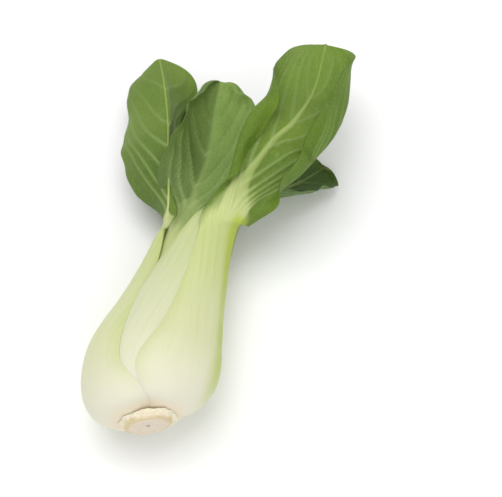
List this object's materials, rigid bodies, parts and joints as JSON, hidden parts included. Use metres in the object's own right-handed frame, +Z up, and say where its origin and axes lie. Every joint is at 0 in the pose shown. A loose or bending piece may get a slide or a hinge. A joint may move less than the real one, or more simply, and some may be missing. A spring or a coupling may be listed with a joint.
{
  "type": "bok choy",
  "caption": "Head of bok choy lying on its side: pale stalks wrapped into a bulb round a cut stem, each opening into a green veined blade.",
  "frame": {"origin": "under the middle of the head's box, on the surface that it lies on", "axes": "+Y along the head from the cut stem to the leaf tips, +Z up, +X to the head's right seen from above with the tips away"},
  "size_m": [0.109, 0.2088, 0.0637],
  "materials": {
    "stem": "matte cut stem, pinkish beige with a tan rim",
    "outer_leaf": "waxy, creamy stalk running into a green veined blade",
    "inner_leaf": "waxy, pale green",
    "heart_leaf": "waxy, yellow green"
  },
  "bodies": {
    "root": {"stem_base": "stem", "left_leaf": "outer_leaf", "right_leaf": "outer_leaf", "under_leaf": "outer_leaf", "middle_leaf": "outer_leaf", "lower_right_leaf": "outer_leaf", "lower_left_leaf": "outer_leaf", "inner_left_leaf": "inner_leaf", "inner_right_leaf": "inner_leaf", "inner_under_leaf": "inner_leaf", "heart_left_leaf": "heart_leaf", "heart_right_leaf": "heart_leaf", "heart_top_leaf": "heart_leaf"}
  },
  "joints": []
}
